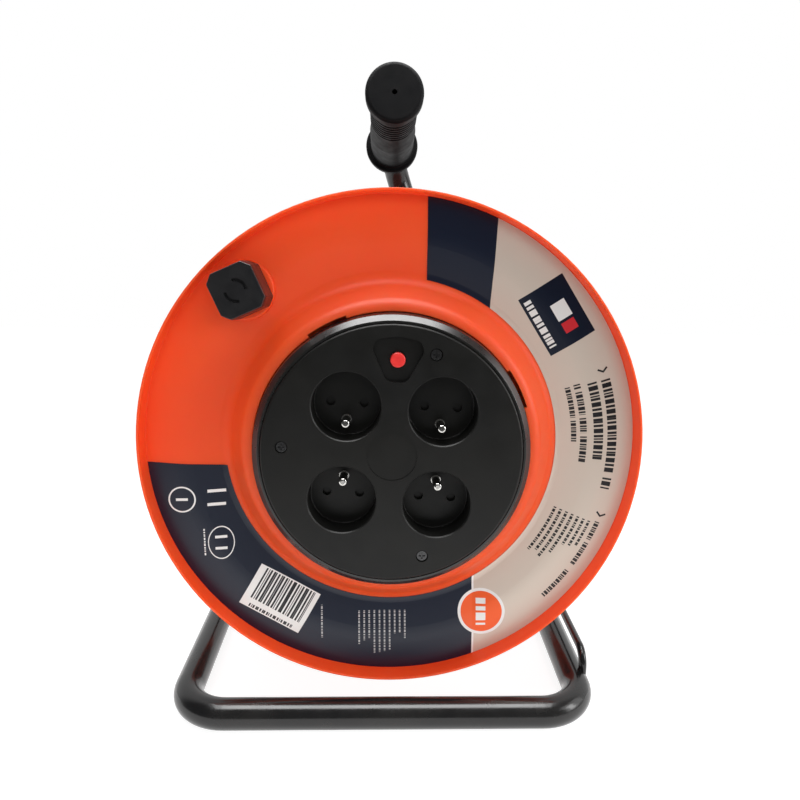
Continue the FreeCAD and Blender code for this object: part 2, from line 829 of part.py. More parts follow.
def knob_outline(width, depth):
    """A square with cut and rounded corners."""
    half = width / 2
    corners = []
    for quarter in range(4):
        turn = math.radians(quarter * 90 + knob_turn)
        for x, z in ((half, half - knob_corner_cut), (half - knob_corner_cut, half)):
            corners.append((at(knob_place.x + x * math.cos(turn) - z * math.sin(turn), depth,
                               knob_place.z + x * math.sin(turn) + z * math.cos(turn)), knob_corner_round))
    return Part.Wire(rounded_edges(corners, closed=True))


def knob_block(front_width, back_width, front, back):
    """A tapered block of that outline."""
    return Part.makeLoft([knob_outline(front_width, front), knob_outline(back_width, back)], True, True)


# Winding knob: hollow body that turns on a steel spindle, and a cap with two arc slots
def knob():
    body = knob_block(knob_width - knob_taper, knob_width, knob_cap_back, knob_base)
    bore = bar(spindle_radius + running_gap, knob_cap_back - cut_past, knob_base + cut_past, knob_place)
    hollow = bar(knob_width / 2 - knob_wall, knob_cap_back - cut_past, knob_hub_front, knob_place)
    return body.cut([bore, hollow])


def knob_cap():
    back_width = knob_width - knob_taper
    back = knob_cap_back - touch_gap
    plate = knob_block(back_width - edge_round, back_width, knob_front, back)
    rim = [edge for edge in plate.Edges if abs(edge.CenterOfMass.y - rim_y - knob_front) < touch_gap]
    plate = plate.makeFillet(fine_round, rim)
    spigot = bar(knob_width / 2 - knob_wall - close_gap, back - knob_cap_thickness / 2, back + knob_cap_spigot,
                 knob_place)
    cuts = []
    for angle in even_angles(2, arc_slot_middle - arc_slot_angle / 2):
        cuts.append(ring(arc_slot_radius - arc_slot_width / 2, arc_slot_radius + arc_slot_width / 2,
                         knob_front - cut_past, knob_front + arc_slot_depth, knob_place, angle, arc_slot_angle))
    return joined([plate, spigot]).cut(cuts)


def knob_spindle():
    front = knob_clip_back - clip_washer_thickness - spindle_tip
    seat = web_back - spindle_head_height
    return turned([(0, front, 0), (spindle_radius, front, fine_round), (spindle_radius, seat, 0),
                   (spindle_head_radius, seat, 0), (spindle_head_radius, web_back, fine_round),
                   (0, web_back, 0)], knob_place)


def knob_clip():
    return ring(spindle_radius + touch_gap, spindle_radius + clip_washer_width,
                knob_clip_back - clip_washer_thickness, knob_clip_back, knob_place)


def winding_point(turns):
    """The middle of the outer layer's cable, counted in turns from its start."""
    depth = first_turn_depth + turns * turn_pitch
    return drum_point(outer_layer_radius, winding_start_angle + turns * 360, depth)


def winding_heading(turns):
    """The way the cable runs there."""
    angle = math.radians(winding_start_angle + turns * 360)
    length = 2 * math.pi * outer_layer_radius
    return Vector(-math.sin(angle) * length, turn_pitch, math.cos(angle) * length).normalize()


def arc_between(start, corner, end):
    """The arc that leaves its start and reaches its end along lines through a corner."""
    back = (start - corner).normalize()
    ahead = (end - corner).normalize()
    half = back.getAngle(ahead) / 2
    radius = (start - corner).Length * math.tan(half)
    inward = (back + ahead).normalize()
    return Part.Arc(start, corner + inward * (radius / math.sin(half) - radius), end).toShape()


def half_turn(first, last):
    """Two arcs that meet smoothly, between two places counted in turns."""
    start = winding_point(first)
    end = winding_point(last)
    start_heading = winding_heading(first)
    end_heading = winding_heading(last)
    gap = end - start
    total = start_heading + end_heading
    spread = total.dot(total) - 4
    along = gap.dot(total)
    reach = (along - math.sqrt(along * along - spread * gap.dot(gap))) / spread
    first_corner = start + start_heading * reach
    last_corner = end - end_heading * reach
    meeting = (first_corner + last_corner) * 0.5
    return [arc_between(start, first_corner, meeting), arc_between(meeting, last_corner, end)]


def winding_start():
    """The outer layer's first point, one cable width before its first turn."""
    return winding_point(0) - winding_heading(0) * (2 * cable_radius)


def winding_path():
    """A straight start, the turns, and the free end that leads to the plug."""
    edges = [Part.LineSegment(winding_start(), winding_point(0)).toShape()]
    for index in range(2 * turn_count):
        edges.extend(half_turn(index / 2, (index + 1) / 2))
    leave = winding_point(turn_count)
    heading = winding_heading(turn_count)
    turn = math.radians(leave_angle)
    drop = plug_line - outer_layer_radius * math.cos(turn)
    corner_along = drop / math.tan(turn) - outer_layer_radius * math.sin(turn)
    corners = [(leave, 0), (leave + heading * leave_run, cable_bend),
               (plug_place(corner_along, plug_line), cable_bend), (plug_place(relief_rear, plug_line), 0)]
    return edges + rounded_edges(corners)


# The outer layer of cable, one unbroken tube from the layer below to the plug's neck
def winding_outer():
    edges = winding_path()
    tube = pipe(edges, cable_radius)
    length = sum(edge.Length for edge in edges)
    radii = [round(edge.Curve.Radius, 1) for edge in edges[-5:] if edge.Curve.TypeId == "Part::GeomCircle"]
    print("outer layer's length", round(length), "and its free end's radii", radii)
    print("volume over section times length", round(tube.Volume / (math.pi * cable_radius ** 2 * length), 4))
    return tube


def winding_gap():
    """The least gap between the cable and itself, on points along it."""
    points = []
    travelled = 0.0
    for edge in winding_path():
        count = max(3, int(edge.Length / cable_radius))
        for index in range(count):
            share = index / count
            place = edge.FirstParameter + (edge.LastParameter - edge.FirstParameter) * share
            points.append((travelled + edge.Length * share, edge.valueAt(place)))
        travelled += edge.Length
    least = outer_layer_radius
    for index, (run, point) in enumerate(points):
        for other_run, other in points[index + 1:]:
            if other_run - run > outer_layer_radius:
                least = min(least, (other - point).Length)
    return least - 2 * cable_radius


# The inner layers of cable, as a plain ring, and the cable that climbs out of them
def winding_core():
    front = web_back + fit_gap
    back = rear_face - fit_gap
    body = turned([(barrel_radius + close_gap, front, 0), (core_radius, front, cable_radius),
                   (core_radius, back, cable_radius), (barrel_radius + close_gap, back, 0)])
    start = winding_start()
    backward = winding_heading(0) * -1
    inward = Vector(0, start.y, axle_height) - start
    inward = (inward - backward * inward.dot(backward)).normalize()
    middle = start + inward * cable_bend
    places = []
    for share in (0.5, 1.0):
        turn = math.radians(climb_angle * share)
        places.append(middle + (backward * math.sin(turn) - inward * math.cos(turn)) * cable_bend)
    climb = pipe([Part.Arc(start, places[0], places[1]).toShape()], cable_radius)
    return joined([body, climb])


def plug_place(along, outward, backward=0.0):
    """A point in the plug's axes: along its pins, outwards from the drum, and backwards."""
    turn = math.radians(plug_angle)
    radial = Vector(math.cos(turn), 0, math.sin(turn))
    ahead = Vector(-math.sin(turn), 0, math.cos(turn))
    return at(0, plug_depth + backward, axle_height) + radial * outward + ahead * along


plug_ahead = plug_place(1, 0) - plug_place(0, 0)
plug_outward = plug_place(0, 1) - plug_place(0, 0)


def plug_turned(profile):
    """A solid turned about the plug's axis from (radius, distance along, corner) points."""
    centre = plug_place(0, plug_line)
    corners = [(plug_place(along, plug_line + radius), corner) for radius, along, corner in profile]
    return face_of(corners).revolve(centre, plug_ahead, 360)


# Saddle on the rear flange that holds the plug's neck
def plug_cradle():
    start = relief_rear + (relief_length + relief_taper_length - cradle_length) / 2
    seat = relief_radius + close_gap
    half = seat + cradle_wall
    root = rear_face + moulding_wall / 2 - plug_depth
    low = plug_line - half
    high = plug_line + cradle_lip
    block = face_of([(plug_place(start, low, -half), soft_round), (plug_place(start, high, -half), soft_round),
                     (plug_place(start, high, root), 0), (plug_place(start, low, root), 0)])
    mouth = face_of([(plug_place(start, plug_line, -seat), 0), (plug_place(start, high + cut_past, -seat), 0),
                     (plug_place(start, high + cut_past, seat), 0), (plug_place(start, plug_line, seat), 0)])
    neck = Part.makeCylinder(seat, cradle_length, plug_place(start, plug_line), plug_ahead)
    way = plug_ahead * cradle_length
    return block.extrude(way).cut([mouth.extrude(way), neck])


# Moulded plug parked on the winding, with flat sides and holes for its pins and earth contact
def plug_body():
    body = plug_turned([(0, plug_rear, 0), (plug_back_radius, plug_rear, soft_round),
                        (plug_radius, plug_rear + plug_taper_length, plug_back_radius),
                        (plug_radius, plug_front, edge_round), (0, plug_front, 0)])
    cuts = []
    depth = plug_radius - plug_half_depth + cut_past
    for low in (plug_half_depth, -plug_half_depth - depth):
        corner = plug_place(plug_rear - cut_past, plug_line - plug_radius - cut_past, low)
        across = plug_outward * (2 * (plug_radius + cut_past))
        outline = [corner, corner + across, corner + across + backwards * depth, corner + backwards * depth]
        face = Part.Face(Part.Wire(Part.makePolygon(outline + outline[:1])))
        cuts.append(face.extrude(plug_ahead * (plug_length + 2 * cut_past)))
    for place in plug_pin_places(plug_front - plug_pin_root - touch_gap):
        cuts.append(Part.makeCylinder(plug_root_radius + touch_gap, plug_length, place, plug_ahead))
    earth = plug_place(plug_front - plug_earth_depth, plug_line + earth_offset)
    cuts.append(Part.makeCylinder(plug_earth_radius, plug_length, earth, plug_ahead))
    return body.cut(cuts)


def plug_pin_places(along):
    """The two pins' middles at a distance along the plug."""
    return [plug_place(along, plug_line, side * contact_pitch / 2) for side in (-1, 1)]


def plug_pins():
    pins = []
    for root in plug_pin_places(plug_front - plug_pin_root):
        start = root + plug_ahead * (plug_pin_root / 2)
        pin = Part.makeCylinder(plug_pin_radius, plug_pin_root / 2 + plug_pin_length, start, plug_ahead)
        tip = root + plug_ahead * (plug_pin_root + plug_pin_length)
        rim = [edge for edge in pin.Edges if (edge.CenterOfMass - tip).Length < touch_gap]
        shank = Part.makeCylinder(plug_root_radius, plug_pin_root, root, plug_ahead)
        pins.append(joined([pin.makeFillet(edge_round, rim), shank]))
    return group(pins)


def plug_relief():
    rear = relief_rear + touch_gap
    front = plug_rear - touch_gap
    return plug_turned([(0, rear, 0), (relief_tip_radius, rear, edge_round),
                        (relief_radius, rear + relief_taper_length, 0), (relief_radius, front, 0),
                        (0, front, 0)])


# The cable's inner end, from the barrel to the gland of the socket housing
def inner_lead():
    corners = [(drum_point(barrel_radius, plug_angle, lead_depth), 0),
               (at(0, lead_depth, axle_height), lead_bend),
               (at(0, housing_floor - gland_thread, axle_height), 0)]
    return pipe(rounded_edges(corners), cable_radius)


def cable_gland():
    inner = cable_radius + close_gap
    front = housing_floor - gland_thread
    seat = housing_back + touch_gap
    back = seat + gland_length
    return turned([(inner, front, 0), (gland_stem_radius, front, 0), (gland_stem_radius, seat, 0),
                   (gland_radius, seat, 0), (gland_radius, seat + gland_length / 2, soft_round),
                   (gland_stem_radius, back, fine_round), (inner, back, 0)])


def gland_nut():
    back = housing_floor - touch_gap
    return ring(gland_stem_radius + touch_gap, gland_nut_radius, back - gland_nut_height, back)


# Axle: steel pin with a flange that is screwed to the hub plate
def axle():
    bore = end_screw_radius + touch_gap
    bore_back = axle_front + end_screw_length + cut_past
    back = hub_plate_front - touch_gap
    body = turned([(bore, axle_front, 0), (axle_radius, axle_front, edge_round),
                   (axle_radius, axle_flange_front, 0), (axle_flange_radius, axle_flange_front, edge_round),
                   (axle_flange_radius, back, 0), (0, back, 0), (0, bore_back, 0), (bore, bore_back, 0)])
    return body.cut([bar(axle_screw_radius + close_gap, axle_flange_front - cut_past, back + cut_past, place)
                     for place in axle_screw_places])


def bush(end, way):
    """A flanged plastic bearing pressed into one end of the hub."""
    flange_end = end + way * bush_flange_thickness
    inner_end = end - way * bush_length
    outer = hub_bore - touch_gap
    flange = hub_radius - bush_flange_inset
    return turned([(bush_radius, flange_end, 0), (flange, flange_end, fine_round), (flange, end, 0),
                   (outer, end, 0), (outer, inner_end, 0), (bush_radius, inner_end, 0)])


def thrust_washer():
    front = hub_back + bush_flange_thickness + fit_gap / 2
    return ring(axle_radius + close_gap, hub_radius, front, front + washer_thickness)


def end_washer():
    back = axle_front - touch_gap
    return ring(end_screw_radius + close_gap, hub_radius, back - washer_thickness, back)


def end_screw():
    seat = axle_front - washer_thickness - 2 * touch_gap
    head = seat - end_screw_head_height
    back = seat + end_screw_length
    return turned([(0, head, 0), (end_screw_head_radius, head, edge_round), (end_screw_head_radius, seat, 0),
                   (end_screw_radius, seat, 0), (end_screw_radius, back, fine_round), (0, back, 0)])


# Stand tube: handle, slope down to the right, round the floor and up the left leg
handle_front = at(0, handle_front_depth, axle_height + handle_front_rise)
handle_rear = at(0, handle_rear_depth, axle_height + handle_rear_rise)
handle_length = (handle_rear - handle_front).Length
handle_way = (handle_rear - handle_front) * (1 / handle_length)
handle_top = handle_rear + handle_way * ((rear_plane - handle_rear_depth) / handle_way.y)
right_foot = at(stand_aside + rear_half_width, rear_plane, tube_radius)
left_foot = at(stand_aside - rear_half_width, rear_plane, tube_radius)
right_front = at(stand_aside + front_half_width, -front_bar_reach, tube_radius)
left_front = at(stand_aside - front_half_width, -front_bar_reach, tube_radius)


def on_line(first, second, z):
    """The point at a height on the line through two points."""
    return first + (second - first) * ((z - first.z) / (second.z - first.z))


leg_joint = on_line(handle_top, right_foot, handle_top.z - leg_joint_drop)
frame_bolt_places = [on_line(foot, top, z)
                     for z in (axle_height + hub_plate_rise - frame_bolt_inset,
                               axle_height - hub_plate_drop + frame_bolt_inset)
                     for foot, top in ((right_foot, handle_top), (left_foot, leg_joint))]


def frame_tube():
    bore = tube_radius - tube_wall
    halfway = (left_foot + leg_joint) * 0.5
    route = rounded_edges([
        (handle_front + handle_way * grip_end_wall, 0), (handle_top, handle_bend), (right_foot, rear_corner),
        (right_front, front_corner), (left_front, front_corner), (left_foot, rear_corner), (halfway, 0)])
    leg_way = leg_joint - halfway
    leg = Part.makeCylinder(tube_radius, leg_way.Length, halfway, leg_way)
    slope_way = handle_top - leg_joint
    past = slope_way * (2 * tube_radius / slope_way.Length)
    slope = Part.makeCylinder(tube_radius - tube_wall / 2, 2 * past.Length, leg_joint - past, slope_way)
    leg_bore = Part.makeCylinder(bore, leg_way.Length, halfway, leg_way).cut(slope)
    cuts = [pipe(route, bore), leg_bore]
    for place in frame_bolt_places:
        cuts.append(bar(frame_bolt_radius + close_gap, rear_plane - 2 * tube_radius,
                        rear_plane + 2 * tube_radius, place))
    tube = pipe(route, tube_radius).fuse(leg)
    for tool in cuts:
        tube = tube.cut(tool)
    return tube


# Pressed plate across both legs that carries the axle
def hub_plate():
    top = axle_height + hub_plate_rise
    low = axle_height - hub_plate_drop
    aside = Vector(hub_plate_overlap, 0, 0)
    points = [on_line(left_foot, leg_joint, top) - aside, on_line(right_foot, handle_top, top) + aside,
              on_line(right_foot, handle_top, low) + aside, on_line(left_foot, leg_joint, low) - aside]
    corners = [(Vector(point.x, rim_y + hub_plate_front, point.z), hub_plate_corner) for point in points]
    plate = face_of(corners).extrude(backwards * (hub_plate_thickness - touch_gap))
    front = hub_plate_front - cut_past
    back = hub_plate_front + hub_plate_thickness + cut_past
    holes = [bar(frame_bolt_radius + close_gap, front, back, place) for place in frame_bolt_places]
    holes += [bar(axle_screw_radius + close_gap, front, back, place) for place in axle_screw_places]
    return plate.cut(holes)


def frame_bolts():
    seat = hub_plate_front - touch_gap
    head = seat - frame_bolt_head_height
    back = rear_plane + tube_radius + frame_nut_height / 2
    profile = [(0, head, 0), (frame_bolt_head_radius, head, soft_round), (frame_bolt_head_radius, seat, 0),
               (frame_bolt_radius, seat, 0), (frame_bolt_radius, back, fine_round), (0, back, 0)]
    return group([turned(profile, place) for place in frame_bolt_places])


def frame_nuts():
    front = rear_plane + tube_radius
    hole_back = front + frame_nut_height / 2 + close_gap
    nuts = []
    for place in frame_bolt_places:
        nut = hexagon(frame_nut_radius, front, frame_nut_height, place)
        crown = turned([(0, front - cut_past, 0), (frame_nut_radius + close_gap, front - cut_past, 0),
                        (frame_nut_radius + close_gap, front + frame_nut_height, frame_nut_radius / 2),
                        (0, front + frame_nut_height, 0)], place)
        hole = bar(frame_bolt_radius + touch_gap, front - cut_past, hole_back, place)
        nuts.append(nut.common(crown).cut(hole))
    return group(nuts)


def axle_screws():
    seat = axle_flange_front - touch_gap
    head = seat - axle_screw_head_height
    back = hub_plate_front + hub_plate_thickness + axle_nut_height + bolt_thread_past
    profile = [(0, head, 0), (axle_screw_head_radius, head, soft_round), (axle_screw_head_radius, seat, 0),
               (axle_screw_radius, seat, 0), (axle_screw_radius, back, fine_round), (0, back, 0)]
    return group([turned(profile, place) for place in axle_screw_places])


def axle_nuts():
    front = hub_plate_front + hub_plate_thickness
    nuts = []
    for place in axle_screw_places:
        nut = hexagon(axle_nut_radius, front, axle_nut_height, place)
        nuts.append(nut.cut(bar(axle_screw_radius + touch_gap, front - cut_past,
                                front + axle_nut_height + cut_past, place)))
    return group(nuts)


# Moulded grip pushed over the tube's end
def handle_grip():
    bore = tube_radius + touch_gap
    points = [(grip_vent_radius, 0, 0), (grip_cap_radius, 0, 2 * soft_round),
              (grip_cap_radius, grip_cap_length, soft_round),
              (grip_front_radius, grip_cap_length + soft_round, 0)]
    start = grip_cap_length + 2 * soft_round
    crest = grip_front_radius + grip_ring_height
    for index in range(grip_ring_count):
        low = start + index * grip_ring_pitch
        high = low + grip_ring_pitch - grip_groove
        points += [(grip_front_radius, low, 0), (crest, low + grip_ring_slope, 0),
                   (crest, high - grip_ring_slope, 0), (grip_front_radius, high, 0)]
    swell = start + grip_ring_count * grip_ring_pitch + grip_groove
    flange_front = handle_length - grip_rear_flange_length
    points += [(grip_front_radius, swell, grip_swell_length / 3),
               (grip_rear_radius, swell + grip_swell_length, grip_swell_length / 2),
               (grip_rear_radius, flange_front, soft_round),
               (grip_rear_flange_radius, flange_front, soft_round),
               (grip_rear_flange_radius, handle_length, soft_round), (bore, handle_length, 0),
               (bore, grip_end_wall, 0), (grip_vent_radius, grip_end_wall, 0)]
    across = Vector(1, 0, 0)
    corners = [(handle_front + across * radius + handle_way * along, corner)
               for radius, along, corner in points]
    return face_of(corners).revolve(handle_front, handle_way, 360)


# Steel wire loop on the right side tube, which guides the cable on to the drum
def cable_guide():
    way = right_foot - right_front
    corners = []
    for depth, rise in ((guide_front_depth, guide_foot_height), (guide_front_depth, guide_height),
                        (guide_rear_depth, guide_height), (guide_rear_depth, guide_foot_height)):
        share = (depth + front_bar_reach) / way.y
        bend = guide_bend if rise == guide_height else 0
        corners.append((right_front + way * share + Vector(guide_lean, 0, rise - tube_radius), bend))
    tube = Part.makeCylinder(tube_radius + touch_gap, way.Length, right_front, way)
    return pipe(rounded_edges(corners), guide_wire_radius).cut(tube)


left_columns = (-half_pitch - contact_pitch / 2, half_pitch - contact_pitch / 2)
right_columns = (-half_pitch + contact_pitch / 2, half_pitch + contact_pitch / 2)
nodes = {
    "frame_tube": frame_tube(),
    "hub_plate": hub_plate(),
    "frame_bolts": frame_bolts(),
    "frame_nuts": frame_nuts(),
    "handle_grip": handle_grip(),
    "cable_guide": cable_guide(),
    "axle": axle(),
    "axle_screws": axle_screws(),
    "axle_nuts": axle_nuts(),
    "thrust_washer": thrust_washer(),
    "end_washer": end_washer(),
    "end_screw": end_screw(),
    "drum_front": drum_front(),
    "drum_rear": drum_rear(),
    "drum_screws": drum_screws(),
    "front_bush": bush(hub_front, -1),
    "rear_bush": bush(hub_back, 1),
    "label": label(),
    "socket_collar": socket_collar(),
    "socket_plate": socket_plate(),
    "plate_screws": plate_screws(),
    "socket_housing": socket_housing(),
    "contact_carrier": contact_carrier(),
    "earth_bar": contact_bar((-half_pitch, half_pitch), earth_bar_front, half_pitch - earth_offset),
    "live_bar": contact_bar(left_columns, live_bar_front, half_pitch),
    "neutral_bar": contact_bar(right_columns, neutral_bar_front, half_pitch),
    "live_clips": contact_clips(0, live_bar_front),
    "neutral_clips": contact_clips(1, neutral_bar_front),
    "cutout_body": cutout_body(),
    "cutout_button": cutout_button(),
    "knob": knob(),
    "knob_cap": knob_cap(),
    "knob_spindle": knob_spindle(),
    "knob_clip": knob_clip(),
    "winding_core": winding_core(),
    "winding_outer": winding_outer(),
    "plug_body": plug_body(),
    "plug_pins": plug_pins(),
    "plug_relief": plug_relief(),
    "inner_lead": inner_lead(),
    "cable_gland": cable_gland(),
    "gland_nut": gland_nut(),
}
for number, (socket_x, socket_y) in enumerate(sockets, start=1):
    nodes["shutter_%d" % number] = shutter(socket_x, socket_y)
    nodes["earth_pin_%d" % number] = earth_pin(socket_x, socket_y)

print("least gap between turns", round(winding_gap(), 3))
os.makedirs("parts", exist_ok=True)
for name, shape in nodes.items():
    shape.exportStep("parts/%s.step" % name)
print(len(nodes), "nodes")
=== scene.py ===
import math
import bpy
import numpy as np
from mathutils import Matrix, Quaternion, Vector


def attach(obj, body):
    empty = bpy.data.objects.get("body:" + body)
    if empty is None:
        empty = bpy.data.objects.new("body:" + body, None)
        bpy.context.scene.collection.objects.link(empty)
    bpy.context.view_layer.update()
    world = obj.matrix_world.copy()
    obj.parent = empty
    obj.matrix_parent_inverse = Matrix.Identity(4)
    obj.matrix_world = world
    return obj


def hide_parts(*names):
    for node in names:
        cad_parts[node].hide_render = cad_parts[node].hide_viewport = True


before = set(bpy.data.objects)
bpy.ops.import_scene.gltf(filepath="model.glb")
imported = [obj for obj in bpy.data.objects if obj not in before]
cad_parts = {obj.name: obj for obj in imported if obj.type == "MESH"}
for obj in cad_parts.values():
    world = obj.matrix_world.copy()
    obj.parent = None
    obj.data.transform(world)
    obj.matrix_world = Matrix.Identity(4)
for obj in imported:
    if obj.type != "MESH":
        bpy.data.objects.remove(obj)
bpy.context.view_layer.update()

# Stand: one steel tube runs from the handle down the right leg, round the floor and up the
# left leg. It is bent cold, welded where the left leg meets the slope, and coated gloss black.
paint_black = (0.010, 0.010, 0.0105)


def new_finish(name, colour, roughness, **settings):
    """A material with one Principled shader, its node tree and the shader."""
    material = bpy.data.materials.new(name)
    material.use_nodes = True
    tree = material.node_tree
    shader = tree.nodes["Principled BSDF"]
    shader.inputs["Base Color"].default_value = (*colour, 1.0)
    shader.inputs["Roughness"].default_value = roughness
    for socket, value in settings.items():
        shader.inputs[socket.replace("_", " ")].default_value = value
    return material, tree, shader


def feed(tree, socket, value):
    """Gives a socket a number, a colour or another node's output."""
    if isinstance(value, bpy.types.NodeSocket):
        tree.links.new(value, socket)
    else:
        socket.default_value = value


def spread(tree, value, low, high, new_low, new_high):
    """A value moved from one range to another, held at its ends."""
    node = tree.nodes.new("ShaderNodeMapRange")
    for socket, item in zip(node.inputs, (value, low, high, new_low, new_high)):
        feed(tree, socket, item)
    return node.outputs[0]


def place(tree):
    """The point on the piece, in metres."""
    return tree.nodes.new("ShaderNodeTexCoord").outputs["Object"]


def noise(tree, scale, detail=2.0):
    """Cloudy noise, about 0 to 1, with scale counted in clouds per metre."""
    node = tree.nodes.new("ShaderNodeTexNoise")
    node.inputs["Scale"].default_value = scale
    node.inputs["Detail"].default_value = detail
    tree.links.new(place(tree), node.inputs["Vector"])
    return node.outputs["Fac"]


def mixed(tree, share, first, second):
    """A colour between two others."""
    node = tree.nodes.new("ShaderNodeMix")
    node.data_type = "RGBA"
    feed(tree, node.inputs["Factor"], share)
    feed(tree, node.inputs["A"], first)
    feed(tree, node.inputs["B"], second)
    return node.outputs["Result"]


def tint(tree, shader, colour, darker, scale):
    """The base colour drifts between two shades, and has each of them where the noise is far from
    its middle."""
    share = spread(tree, noise(tree, scale), 0.35, 0.65, 0.0, 1.0)
    feed(tree, shader.inputs["Base Color"], mixed(tree, share, (*colour, 1), (*darker, 1)))


def worn_gloss(tree, shader, low, high, scale):
    """The gloss drifts between two roughnesses."""
    cloud = noise(tree, scale, 4.0)
    feed(tree, shader.inputs["Roughness"], spread(tree, cloud, 0.3, 0.7, low, high))


def grain(tree, shader, scale, depth):
    """Fine bumps over the whole surface, with their depth in metres."""
    node = tree.nodes.new("ShaderNodeBump")
    node.inputs["Distance"].default_value = depth
    node.inputs["Strength"].default_value = 1.0
    tree.links.new(noise(tree, scale, 3.0), node.inputs["Height"])
    tree.links.new(node.outputs[0], shader.inputs["Normal"])


def dress(material, *nodes):
    """Gives CAD nodes a finish."""
    for node in nodes:
        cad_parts[node].material_slots[0].material = material


black_paint, tree, shader = new_finish("gloss_black_paint", paint_black, 0.2, Coat_Weight=0.3,
                                       Coat_Roughness=0.08, Specular_IOR_Level=0.35)
tint(tree, shader, paint_black, (0.016, 0.0155, 0.015), 30.0)
worn_gloss(tree, shader, 0.16, 0.3, 60.0)
grain(tree, shader, 900.0, 0.00002)
dress(black_paint, "frame_tube")

# Hub plate: pressed steel across both legs, in the same coating. Four bolts and cap nuts
# hold it on the tube, and four screws hold the axle's flange. They are bright zinc-plated steel.
dress(black_paint, "hub_plate")
zinc = (0.56, 0.57, 0.59)
zinc_steel, tree, shader = new_finish("zinc_steel", zinc, 0.28, Metallic=1.0)
tint(tree, shader, zinc, (0.44, 0.45, 0.46), 250.0)
worn_gloss(tree, shader, 0.2, 0.38, 400.0)
grain(tree, shader, 2500.0, 0.000008)
dress(zinc_steel, "frame_bolts", "frame_nuts", "axle", "axle_screws", "axle_nuts", "thrust_washer",
      "end_washer", "end_screw")

# Cable guide: a loop of round steel wire. Its two feet are welded on the right floor tube, and
# it is coated together with the stand.
dress(black_paint, "cable_guide")

# Grip: a soft black moulding pushed over the tube's end. It has a round cap and rings at the
# front, and a smooth swell and a flange behind.
grip_black = (0.0035, 0.0038, 0.0045)
grip_plastic, tree, shader = new_finish("grip_plastic", grip_black, 0.55, Specular_IOR_Level=0.14)
tint(tree, shader, grip_black, (0.005, 0.005, 0.0055), 90.0)
worn_gloss(tree, shader, 0.48, 0.62, 160.0)
grain(tree, shader, 2400.0, 0.00003)
dress(grip_plastic, "handle_grip")

# Drum: two satin orange mouldings, screwed together round the barrel, with grey plastic bearings
# in the hub. The colour is in the plastic, which lets a little light into it and drifts a little
# in shade and gloss.
orange = (0.93, 0.092, 0.019)
orange_plastic, tree, shader = new_finish("orange_plastic", orange, 0.44, Specular_IOR_Level=0.3,
                                          Subsurface_Weight=0.6, Subsurface_Scale=1.0,
                                          Subsurface_Radius=(0.008, 0.004, 0.001))
tint(tree, shader, orange, (0.90, 0.083, 0.017), 14.0)
worn_gloss(tree, shader, 0.38, 0.5, 45.0)
grain(tree, shader, 1500.0, 0.000012)
dress(orange_plastic, "drum_front", "drum_rear")
dress(zinc_steel, "drum_screws")
bush_grey = (0.05, 0.05, 0.052)
bush_plastic, tree, shader = new_finish("bush_plastic", bush_grey, 0.45)
tint(tree, shader, bush_grey, (0.04, 0.04, 0.042), 120.0)
grain(tree, shader, 1500.0, 0.00001)
dress(bush_plastic, "front_bush", "rear_bush")

# Label: a printed sheet glued on the dished face, navy at both ends and silver between, under a
# clear satin film. Plain bars, tiles and discs stand for its print. Its places are in millimetres
# from the axle, and its turns in degrees.
mm = 0.001
axle_height = 166.0
navy = (0.0025, 0.0065, 0.021, 1)
silver = (0.61, 0.53, 0.45, 1)
ink = (0.008, 0.008, 0.010, 1)
white_ink = (0.80, 0.80, 0.78, 1)
grey_ink = (0.45, 0.45, 0.45, 1)
orange_ink = (0.86, 0.11, 0.018, 1)
red_ink = (0.62, 0.02, 0.03, 1)
print_edge = 0.12
long_step = 1.63
label_turn = math.radians(0.75)
label_print, tree, shader = new_finish("label_print", navy[:3], 0.36, Specular_IOR_Level=0.55)


def maths(tree, operation, first, second=0.0, third=0.0, clamp=False):
    """One Math node."""
    node = tree.nodes.new("ShaderNodeMath")
    node.operation = operation
    node.use_clamp = clamp
    for socket, value in zip(node.inputs, (first, second, third)):
        feed(tree, socket, value)
    return node.outputs[0]


parts = tree.nodes.new("ShaderNodeSeparateXYZ")
tree.links.new(place(tree), parts.inputs[0])
east_of_axle = maths(tree, "MULTIPLY", parts.outputs["X"], 1 / mm)
above_axle = maths(tree, "MULTIPLY_ADD", parts.outputs["Z"], 1 / mm, -axle_height)
across = maths(tree, "MULTIPLY_ADD", east_of_axle, math.cos(label_turn),
               maths(tree, "MULTIPLY", above_axle, math.sin(label_turn)))
rise = maths(tree, "MULTIPLY_ADD", above_axle, math.cos(label_turn),
             maths(tree, "MULTIPLY", east_of_axle, -math.sin(label_turn)))
reach = maths(tree, "SQRT", maths(tree, "ADD", maths(tree, "MULTIPLY", across, across),
                                  maths(tree, "MULTIPLY", rise, rise)))
bearing = maths(tree, "MULTIPLY", maths(tree, "ARCTAN2", rise, across), 180 / math.pi)


def inside(distance):
    """1 where a distance in millimetres is above 0, with a soft printed edge."""
    return maths(tree, "MULTIPLY_ADD", distance, 1 / print_edge, 0.5, clamp=True)


def beyond(first, second):
    """1 on the left of the line from one point to another, in millimetres from the axle."""
    (x, z), (other_x, other_z) = first, second
    length = math.hypot(other_x - x, other_z - z)
    east = -(other_z - z) / length
    north = (other_x - x) / length
    turned = maths(tree, "MULTIPLY_ADD", rise, north, -(x * east + z * north))
    return inside(maths(tree, "MULTIPLY_ADD", across, east, turned))


def both(*masks):
    """Where every mask holds."""
    result = masks[0]
    for mask in masks[1:]:
        result = maths(tree, "MULTIPLY", result, mask)
    return result


